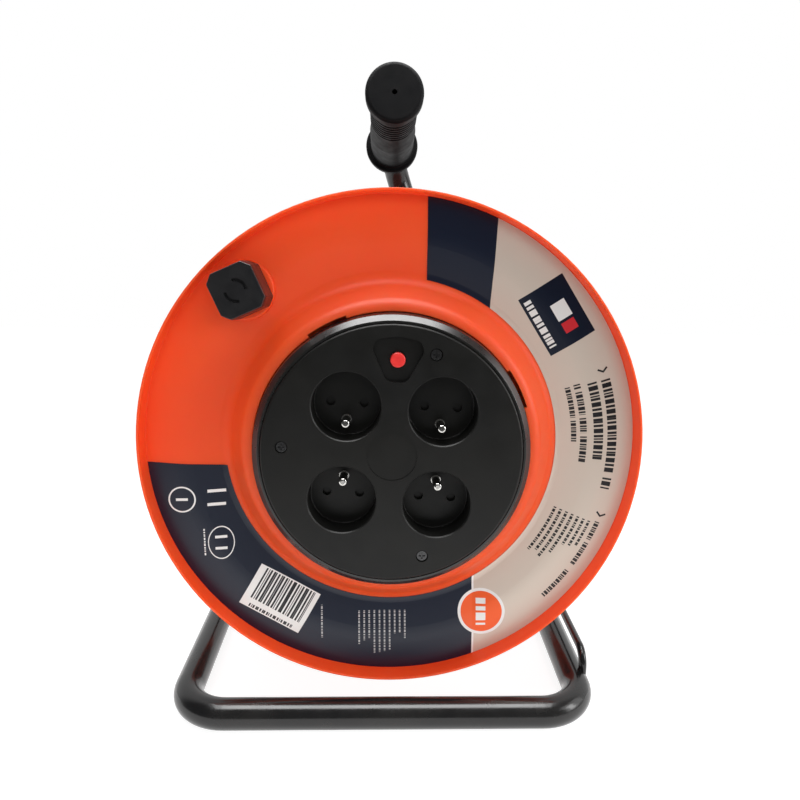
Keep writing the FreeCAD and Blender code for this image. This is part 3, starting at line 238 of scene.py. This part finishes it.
def tile(x, z, width, height, turn):
    """A turned rectangle's mask and the distance along its width."""
    angle = math.radians(turn)
    east, north = math.cos(angle), math.sin(angle)
    along = maths(tree, "MULTIPLY_ADD", across, east,
                  maths(tree, "MULTIPLY_ADD", rise, north, -(x * east + z * north)))
    aside = maths(tree, "MULTIPLY_ADD", across, -north,
                  maths(tree, "MULTIPLY_ADD", rise, east, x * north - z * east))
    mask = both(inside(maths(tree, "SUBTRACT", width / 2, maths(tree, "ABSOLUTE", along))),
                inside(maths(tree, "SUBTRACT", height / 2, maths(tree, "ABSOLUTE", aside))))
    return mask, along


def disc(x, z, radius, wide=1.0):
    """A round mask, or an oval one whose radius is upright."""
    east = maths(tree, "MULTIPLY_ADD", across, 1 / wide, -x / wide)
    north = maths(tree, "SUBTRACT", rise, z)
    away = maths(tree, "SQRT", maths(tree, "ADD", maths(tree, "MULTIPLY", east, east),
                                     maths(tree, "MULTIPLY", north, north)))
    return inside(maths(tree, "SUBTRACT", radius, away))


def ring(x, z, radius, line, wide=1.0):
    """The outline of a disc."""
    return both(disc(x, z, radius, wide), maths(tree, "SUBTRACT", 1.0, disc(x, z, radius - line, wide)))


def strokes(along, step, bias):
    """Uneven strokes along a row: ink where the sum of a sine of one step and a sine of a longer
    step is above minus the bias."""
    turn = 2 * math.pi / step
    short_wave = maths(tree, "SINE", maths(tree, "MULTIPLY", along, turn))
    long_wave = maths(tree, "SINE", maths(tree, "MULTIPLY_ADD", along, turn / long_step, 1.0))
    wave = maths(tree, "ADD", short_wave, long_wave)
    return inside(maths(tree, "MULTIPLY_ADD", wave, 1 / turn, bias / turn))


def words(radius, height, start, end, step):
    """A row of strokes that follows a circle about the axle, between two bearings."""
    along = maths(tree, "MULTIPLY", maths(tree, "SUBTRACT", start, bearing), math.pi / 180 * radius)
    length = math.radians(start - end) * radius
    aside = maths(tree, "ABSOLUTE", maths(tree, "SUBTRACT", reach, radius))
    return both(inside(along), inside(maths(tree, "SUBTRACT", length, along)),
                inside(maths(tree, "SUBTRACT", height / 2, aside)), strokes(along, step, 0.5))


def column(x, top, bottom, width):
    """An upright row of small strokes."""
    aside = maths(tree, "ABSOLUTE", maths(tree, "SUBTRACT", across, x))
    return both(inside(maths(tree, "SUBTRACT", width / 2, aside)),
                inside(maths(tree, "SUBTRACT", top, rise)),
                inside(maths(tree, "SUBTRACT", rise, bottom)), strokes(rise, 1.2, 0.3))


def printed(colour, mask, below):
    """One ink over what is printed already."""
    return mixed(tree, mask, below, colour)


def patch(colour, below, x, z, width, height, turn=0.0):
    """A turned rectangle in one ink."""
    return printed(colour, tile(x, z, width, height, turn)[0], below)


def barred_patch(colour, below, x, z, width, height, turn, step, bias):
    """A turned rectangle filled with strokes."""
    shown, along = tile(x, z, width, height, turn)
    return printed(colour, both(shown, strokes(along, step, bias)), below)


# The silver between its two straight edges, and the white seam along the lower one. The silver
# shines a little like metal.
silver_foot = 50.0
silver_top_outer = (59.9, 132.9)
silver_top_inner = (57.2, 83.1)
seam_place = 50.4
seam_half = 0.6
silver_part = both(beyond((silver_foot, 0), (silver_foot, -143)),
                   beyond(silver_top_outer, silver_top_inner))
sheet = printed(silver, silver_part, navy)
off_seam = maths(tree, "ABSOLUTE", maths(tree, "SUBTRACT", across, seam_place))
seam = both(inside(maths(tree, "SUBTRACT", seam_half, off_seam)),
            inside(maths(tree, "MULTIPLY", rise, -1.0)))
sheet = printed(white_ink, seam, sheet)

# The navy tile with its two small marks and its row of strokes.
tile_turn = 32.5
sheet = patch(navy, sheet, 95.0, 76.5, 28.5, 38.3, tile_turn)
sheet = patch(white_ink, sheet, 97.2, 79.6, 9.0, 10.5, tile_turn)
sheet = patch(red_ink, sheet, 102.6, 70.9, 8.0, 6.5, tile_turn)
sheet = barred_patch(white_ink, sheet, 85.9, 71.2, 31.0, 4.2, tile_turn - 90, 2.4, 0.6)

# Rows on the silver that follow the drum: radius, height, first and last bearing, and step.
for row in ((131.0, 5.5, 17.5, -7.6, 2.0), (131.0, 5.5, -9.0, -12.0, 2.0),
            (123.0, 5.5, 17.7, -4.2, 2.0), (114.5, 3.8, 18.4, 17.0, 1.5),
            (114.5, 3.8, 16.0, 9.0, 1.5), (114.5, 3.8, 8.0, 3.4, 1.5),
            (114.5, 3.8, 2.4, -5.8, 1.5), (109.0, 3.0, 18.2, 8.4, 1.3),
            (109.0, 3.0, 7.4, 0.7, 1.3), (134.0, 3.0, -21.1, -26.4, 1.3),
            (134.0, 3.0, -27.4, -34.2, 1.3), (134.0, 3.0, -36.4, -45.8, 1.3)):
    sheet = printed(ink, words(*row), sheet)
fine_first = 129.0
fine_pitch = 3.6
for row, end in enumerate((-29.5, -30.5, -31.0, -35.0, -38.0, -37.0, -38.4)):
    sheet = printed(ink, words(fine_first - fine_pitch * row, 1.7, -21.6, end, 1.4), sheet)

# A chevron before each group of rows: two short bars that meet at a point.
chevron_half = 1.3
chevron_tilt = 36.4
for radius, start in ((131.0, 20.0), (134.0, -19.0)):
    for side in (1, -1):
        bar_radius = radius + side * chevron_half
        bar_x = bar_radius * math.cos(math.radians(start))
        bar_z = bar_radius * math.sin(math.radians(start))
        sheet = patch(ink, sheet, bar_x, bar_z, 3.8, 1.1, start + side * chevron_tilt)

# The round seal that covers the seam, with a column of four bars.
seal_x = 55.6
seal_z = -106.8
sheet = printed(white_ink, disc(seal_x, seal_z, 14.6), sheet)
sheet = printed(orange_ink, disc(seal_x, seal_z, 12.8), sheet)
seal_column = tile(55.2, seal_z, 6.0, 17.0, 0.0)[0]
sheet = printed(white_ink, both(seal_column, strokes(rise, 3.4, 0.6)), sheet)

# The white panel with upright stripes and a row of small strokes under them.
panel_turn = -31.0
sheet = patch(white_ink, sheet, -69.0, -96.7, 41.3, 27.6, panel_turn)
sheet = barred_patch(ink, sheet, -67.0, -94.6, 34.0, 20.5, panel_turn, 1.7, 0.2)
sheet = barred_patch(ink, sheet, -75.0, -107.0, 30.0, 2.2, panel_turn, 1.5, 0.3)

# Small print at the foot: one column alone and ten side by side, each with its place, its top and
# its bottom.
for x, top, bottom in ((-43.5, -101.8, -122.6), (-20.5, -105.9, -127.1), (-17.3, -106.0, -124.7),
                       (-14.2, -106.1, -123.2), (-11.0, -106.2, -133.7), (-7.8, -106.3, -132.8),
                       (-4.7, -106.3, -132.5), (-1.5, -106.4, -131.4), (1.7, -106.4, -120.7),
                       (4.8, -106.5, -120.4), (8.0, -106.5, -124.2)):
    sheet = printed(grey_ink, column(x, top, bottom, 1.0), sheet)

# Two rings, the bars in and beside them, and a column of strokes, in the navy quarter at the left.
sheet = printed(white_ink, ring(-124.5, -31.8, 8.0, 0.9), sheet)
sheet = printed(white_ink, ring(-102.9, -59.4, 10.2, 0.7, 0.76), sheet)
for bar in ((-104.6, -27.4, 10.5, 1.8), (-104.9, -35.6, 10.5, 1.8), (-124.6, -31.8, 7.0, 1.6),
            (-102.9, -55.8, 7.0, 1.6), (-102.9, -62.8, 7.0, 1.6)):
    sheet = patch(white_ink, sheet, *bar)
sheet = printed(white_ink, column(-112.6, -50.4, -67.6, 0.9), sheet)
feed(tree, shader.inputs["Base Color"], sheet)
metal_share = 0.25
feed(tree, shader.inputs["Metallic"], maths(tree, "MULTIPLY", silver_part, metal_share))
grain(tree, shader, 1200.0, 0.000006)
dress(label_print, "label")

# Socket plate: a black moulding with a fine dull grain, and the housing, carrier, shutters and
# gland behind it. Three black screws hold it, nickel earth pins stand in its wells, and the
# contacts are brass.
plate_black = (0.006, 0.006, 0.0056)
plate_faded = (0.008, 0.0078, 0.0068)
plate_plastic, tree, shader = new_finish("plate_plastic", plate_black, 0.42, Specular_IOR_Level=0.3)
tint(tree, shader, plate_black, plate_faded, 25.0)
worn_gloss(tree, shader, 0.36, 0.48, 80.0)
grain(tree, shader, 2600.0, 0.000014)
dress(plate_plastic, "socket_plate", "socket_housing", "contact_carrier", "cutout_body")
dress(plate_plastic, "shutter_1", "shutter_2", "shutter_3", "shutter_4", "cable_gland", "gland_nut")
screw_black = (0.09, 0.09, 0.092)
black_zinc, tree, shader = new_finish("black_zinc", screw_black, 0.25, Metallic=0.8)
tint(tree, shader, screw_black, (0.06, 0.06, 0.061), 500.0)
grain(tree, shader, 2500.0, 0.000008)
dress(black_zinc, "plate_screws")
nickel = (0.78, 0.77, 0.74)
bright_nickel, tree, shader = new_finish("bright_nickel", nickel, 0.16, Metallic=1.0)
tint(tree, shader, nickel, (0.68, 0.67, 0.64), 300.0)
grain(tree, shader, 3000.0, 0.000004)
dress(bright_nickel, "earth_pin_1", "earth_pin_2", "earth_pin_3", "earth_pin_4", "plug_pins")
brass = (0.72, 0.50, 0.20)
contact_brass, tree, shader = new_finish("contact_brass", brass, 0.3, Metallic=1.0)
tint(tree, shader, brass, (0.62, 0.42, 0.16), 200.0)
grain(tree, shader, 2000.0, 0.000006)
dress(contact_brass, "earth_bar", "live_bar", "neutral_bar", "live_clips", "neutral_clips")

# Socket collar: a black bayonet ring that holds the plate in the front moulding. It is the same
# plastic as the plate, but smoother, so that its bevel shines.
collar_plastic, tree, shader = new_finish("collar_plastic", plate_black, 0.28, Specular_IOR_Level=0.8)
tint(tree, shader, plate_black, plate_faded, 25.0)
worn_gloss(tree, shader, 0.24, 0.34, 80.0)
grain(tree, shader, 2600.0, 0.000008)
dress(collar_plastic, "socket_collar")

# Cut-out button: a small round red moulding in its own recess. It pops out when the reel is
# overloaded, and is pressed back in.
red = (0.80, 0.035, 0.03)
red_plastic, tree, shader = new_finish("red_plastic", red, 0.35)
tint(tree, shader, red, (0.72, 0.025, 0.022), 400.0)
grain(tree, shader, 2500.0, 0.00001)
dress(red_plastic, "cutout_button")

# Winding knob: a hollow black moulding that turns on a steel spindle. A clip holds it there, and
# a cap with two arc slots closes its front.
knob_black = (0.008, 0.008, 0.009)
knob_plastic, tree, shader = new_finish("knob_plastic", knob_black, 0.36, Specular_IOR_Level=0.7)
tint(tree, shader, knob_black, (0.011, 0.011, 0.012), 90.0)
worn_gloss(tree, shader, 0.3, 0.42, 160.0)
grain(tree, shader, 2400.0, 0.00001)
dress(knob_plastic, "knob", "knob_cap")
dress(zinc_steel, "knob_spindle", "knob_clip")

# Winding: black cable, 8 mm thick, in even turns over the inner layers. Its outer end leaves
# the last turn for the plug, and its inner end climbs out of the layer below.
rim_y = -86.25
cable_radius = 4.0
layer_radius = 118.941
turn_pitch = 8.6
turn_count = 11
steps_per_turn = 120
first_turn_depth = 26.8
winding_start = math.radians(-164.0 - turn_count * 360.0)
layer_step = cable_radius * math.sqrt(3)
winding_front = 20.3
winding_back = 125.7
barrel_radius = 80.1
plug_line = 141.641
plug_depth = 106.4
relief_rear = -43.0
climb_angle = 50.0
climb_radius = 40.0
climb_steps = 24
wander_reach = 0.12
lift_reach = 0.10
fade_rate = 4
end_pull = 52.0
end_steps = 60


def grid_piece(name, points, around=False, along=False, inside_out=False):
    """A smooth surface through a grid of points, in millimetres from the origin. Four neighbours
    make one face. The grid can close on itself around its columns or along its rows."""
    rows, columns = points.shape[:2]
    row = np.arange(rows if along else rows - 1)[:, None]
    column = np.arange(columns if around else columns - 1)[None, :]
    next_row = (row + 1) % rows
    next_column = (column + 1) % columns
    corners = [row * columns + column, row * columns + next_column,
               next_row * columns + next_column, next_row * columns + column]
    faces = np.stack(corners[::-1] if inside_out else corners, axis=-1).reshape(-1, 4)
    mesh = bpy.data.meshes.new(name)
    mesh.from_pydata((points.reshape(-1, 3) * mm).tolist(), [], faces.tolist())
    mesh.shade_smooth()
    piece = bpy.data.objects.new(name, mesh)
    bpy.context.scene.collection.objects.link(piece)
    return piece


def drum_points(radius, angle, depth):
    """Points about the axle: radius times the angle's cosine and sine, at a depth behind the rim."""
    radius, angle, depth = np.broadcast_arrays(radius, angle, depth)
    x = radius * np.cos(angle)
    z = axle_height + radius * np.sin(angle)
    return np.stack([x, rim_y + depth, z], axis=-1)


def unit(vectors):
    """Vectors made one long."""
    return vectors / np.linalg.norm(vectors, axis=-1, keepdims=True)


def tube(path, radius, guide, sides=20):
    """A round tube along a path: each ring is the path's point plus the radius times cosine and
    sine along two directions square to the path, the first of them square to a guide direction
    too. Both ends close in a point."""
    heading = unit(np.gradient(path, axis=0))
    first = unit(np.cross(heading, guide))
    second = np.cross(first, heading)
    angle = np.arange(sides) * (2 * math.pi / sides)
    outwards = (first[:, None] * np.cos(angle)[None, :, None]
                + second[:, None] * np.sin(angle)[None, :, None])
    rings = path[:, None] + outwards * radius
    starts = np.repeat(path[:1, None], sides, axis=1)
    ends = np.repeat(path[-1:, None], sides, axis=1)
    return np.concatenate([starts, rings, ends])


jacket = (0.014, 0.014, 0.0145)
cable_jacket, tree, shader = new_finish("cable_jacket", jacket, 0.42)
tint(tree, shader, jacket, (0.02, 0.02, 0.0205), 60.0)
worn_gloss(tree, shader, 0.34, 0.5, 150.0)
grain(tree, shader, 1800.0, 0.00002)

# The turns: a helix about the axle, one pitch deeper for each turn. A little wander and lift, of
# slow sines that fade out at both ends, make it a cable that was wound by hand.
turns = np.linspace(0.0, turn_count, turn_count * steps_per_turn + 1)
turn_angle = winding_start + turns * 2 * math.pi
ease = np.clip(np.minimum(turns, turn_count - turns) * fade_rate, 0, 1)
wander = ease * wander_reach * (np.sin(turn_angle * 3.3) + np.sin(turn_angle * 5.1 + 1.0))
lift = ease * lift_reach * (1 + np.sin(turn_angle * 2.7 + 0.5))
wound = drum_points(layer_radius + lift, turn_angle, first_turn_depth + turns * turn_pitch + wander)

# Its inner end climbs out of the layer below on an arc, and its outer end leaves the last turn on
# a cubic curve that runs straight into the plug's neck.
start_heading = unit(wound[1] - wound[0])
climb_start = wound[0] - start_heading * 2 * cable_radius
inwards = np.array([0.0, climb_start[1], axle_height]) - climb_start
towards_axle = unit(inwards - start_heading * (inwards @ start_heading))
swing = np.radians(np.linspace(climb_angle, 0.0, climb_steps))[:, None]
climb_middle = climb_start + towards_axle * climb_radius
out_of_middle = start_heading * np.sin(swing) + towards_axle * np.cos(swing)
climb = climb_middle - out_of_middle * climb_radius
end_heading = unit(wound[-1] - wound[-2])
plug_neck = np.array([relief_rear, rim_y + plug_depth, axle_height - plug_line])
share = np.linspace(0.0, 1.0, end_steps)[1:, None]
after_turns = wound[-1] + end_heading * end_pull
before_plug = plug_neck - np.array([end_pull, 0, 0])
leave = ((1 - share) ** 3 * wound[-1] + 3 * (1 - share) ** 2 * share * after_turns
         + 3 * (1 - share) * share ** 2 * before_plug + share ** 3 * plug_neck)
cable_path = np.concatenate([climb, wound, leave])
cable_surface = tube(cable_path, cable_radius, np.array([0.0, 1.0, 0.0]))
cable_turns = grid_piece("cable_turns", cable_surface, around=True)
cable_turns.data.materials.append(cable_jacket)
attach(cable_turns, "drum")
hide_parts("winding_outer")

# The layers below show as ridges between the turns, on the same helix half a pitch deeper. At each
# angle and depth the radius is the layer's radius plus a circle's height over the nearest ridge's
# middle, and a quarter circle rounds it down at both ends.
core_rows = 360
core_columns = 260
least_squared = 0.2
below_radius = layer_radius - layer_step
core_angle = np.linspace(0, 2 * math.pi, core_rows, endpoint=False)[:, None]
core_depth = np.linspace(winding_front, winding_back, core_columns)
helix_depth = first_turn_depth + turn_pitch * ((core_angle - winding_start) / (2 * math.pi) + 0.5)
off_turn = ((core_depth - helix_depth) / turn_pitch + 0.5) % 1.0 * turn_pitch - turn_pitch / 2
ridge = np.sqrt(np.clip(cable_radius ** 2 - off_turn ** 2, least_squared, None))
edge_room = np.minimum(core_depth - winding_front, winding_back - core_depth)
shoulder = np.sqrt(np.clip(1 - (1 - np.clip(edge_room / cable_radius, 0, 1)) ** 2, 0, 1))
outer_radius = below_radius - cable_radius + (ridge + cable_radius) * shoulder
barrel_edge = np.full((core_rows, 1), barrel_radius)
closed_radius = np.concatenate([barrel_edge, outer_radius, barrel_edge], axis=1)
closed_depth = np.concatenate([[winding_front], core_depth, [winding_back]])
core_points = drum_points(closed_radius, core_angle, closed_depth)
inner_turns = grid_piece("inner_turns", core_points, around=True, along=True, inside_out=True)
inner_turns.data.materials.append(cable_jacket)
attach(inner_turns, "drum")
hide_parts("winding_core")

# Inner lead: the cable's inner end. It comes through the barrel's wall, bends forward on an arc
# and runs into the gland behind the sockets.
lead_depth = 80.0
lead_foot = 80.0
lead_bend = 24.0
bend_steps = 16
gland_depth = 37.0
lead_corner = np.array([0.0, rim_y + lead_depth, axle_height])
lead_swing = np.radians(np.linspace(0, 90, bend_steps))[:, None]
down = np.array([0.0, 0.0, -1.0])
forward = np.array([0.0, -1.0, 0.0])
bend_middle = lead_corner + (down + forward) * lead_bend
lead_arc = bend_middle - (forward * np.cos(lead_swing) + down * np.sin(lead_swing)) * lead_bend
lead_start = lead_corner + down * lead_foot
lead_end = lead_corner + forward * (lead_depth - gland_depth)
lead_path = np.concatenate([[lead_start], lead_arc, [lead_end]])
lead_surface = tube(lead_path, cable_radius, np.array([1.0, 0.0, 0.0]))
lead_cable = grid_piece("lead_cable", lead_surface, around=True)
lead_cable.data.materials.append(cable_jacket)
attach(lead_cable, "drum")
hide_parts("inner_lead")

# Plug: moulded on the cable's end in soft black plastic, with flat sides and a neck that bends.
# It is parked in the rear moulding's saddle.
plug_rubber, tree, shader = new_finish("plug_rubber", jacket, 0.5)
tint(tree, shader, jacket, (0.019, 0.019, 0.0195), 90.0)
worn_gloss(tree, shader, 0.42, 0.56, 150.0)
grain(tree, shader, 2200.0, 0.00002)
dress(plug_rubber, "plug_body", "plug_relief")

# Studio: a pale table lit from below, a white backdrop behind the reel and a dark room in front of
# it, soft boxes, and the camera of the photograph. Two of the boxes show in shiny surfaces alone,
# and the one in front lights the reel without a mirror image.
table_side = 3.0
table_front = -0.55
floor_mesh = bpy.data.meshes.new("floor")
floor_mesh.from_pydata([(-table_side, table_front, 0), (table_side, table_front, 0),
                        (table_side, table_side, 0), (-table_side, table_side, 0)], [], [(0, 1, 2, 3)])
floor = bpy.data.objects.new("floor", floor_mesh)
bpy.context.scene.collection.objects.link(floor)
floor_paint, tree, shader = new_finish("floor_paint", (0.3, 0.3, 0.3), 0.8, Emission_Color=(1, 1, 1, 1),
                                       Emission_Strength=0.9)
floor.data.materials.append(floor_paint)

room_light = 0.35
front_in_gloss = 0.05
back_in_gloss = 0.85
backdrop_edge = 0.35
world = bpy.data.worlds.new("studio")
world.use_nodes = True
bpy.context.scene.world = world
tree = world.node_tree
sky = tree.nodes["Background"]
sky.inputs["Color"].default_value = (1, 1, 1, 1)
rays = tree.nodes.new("ShaderNodeLightPath").outputs
heading = tree.nodes.new("ShaderNodeSeparateXYZ")
tree.links.new(tree.nodes.new("ShaderNodeTexCoord").outputs["Generated"], heading.inputs[0])
in_gloss = spread(tree, heading.outputs["Y"], 0.0, backdrop_edge, front_in_gloss, back_in_gloss)
surroundings = spread(tree, rays["Is Glossy Ray"], 0.0, 1.0, room_light, in_gloss)
feed(tree, sky.inputs["Strength"], spread(tree, rays["Is Camera Ray"], 0.0, 1.0, surroundings, 1.0))


def soft_light(name, where, target, width, height, power):
    """An oblong soft light that faces a point, in metres and watts."""
    lamp = bpy.data.lights.new(name, "AREA")
    lamp.shape = "RECTANGLE"
    lamp.size = width
    lamp.size_y = height
    lamp.energy = power
    light = bpy.data.objects.new(name, lamp)
    light.location = where
    light.rotation_euler = (Vector(target) - Vector(where)).to_track_quat("-Z", "Y").to_euler()
    bpy.context.scene.collection.objects.link(light)
    return light


drum_foot = (0, 0, 0.15)
drum_front = (0, -0.1, 0.2)
soft_light("top_light", (0.0, -0.25, 1.3), drum_front, 0.9, 0.6, 7.5)
soft_light("right_light", (1.2, -0.5, 0.5), drum_foot, 0.3, 0.6, 4.2)
front_light = soft_light("front_light", (0.2, -1.4, 0.75), drum_foot, 1.6, 0.6, 7.6)
front_light.visible_glossy = False
top_gloss = soft_light("top_gloss", (0.0, -0.2, 1.3), drum_front, 1.2, 0.9, 22.0)
top_gloss.visible_diffuse = False
right_gloss = soft_light("right_gloss", (1.1, -0.35, 0.5), drum_front, 0.9, 0.8, 4.0)
right_gloss.visible_diffuse = False

camera_data = bpy.data.cameras.new("camera")
camera_data.lens = 28.8
camera_data.sensor_width = 36.0
camera_data.clip_start = 0.01
camera = bpy.data.objects.new("camera", camera_data)
camera.location = (-0.00575, -0.44144, 0.26103)
pitch = math.radians(10.395)
yaw = math.radians(1.624)
roll = math.radians(0.75)
looking = Vector((math.sin(yaw) * math.cos(pitch), math.cos(yaw) * math.cos(pitch), -math.sin(pitch)))
level = looking.to_track_quat("-Z", "Y")
camera.rotation_euler = (level @ Quaternion((0, 0, 1), roll)).to_euler()
bpy.context.scene.collection.objects.link(camera)
bpy.context.scene.camera = camera
bpy.context.scene.view_settings.view_transform = "Standard"
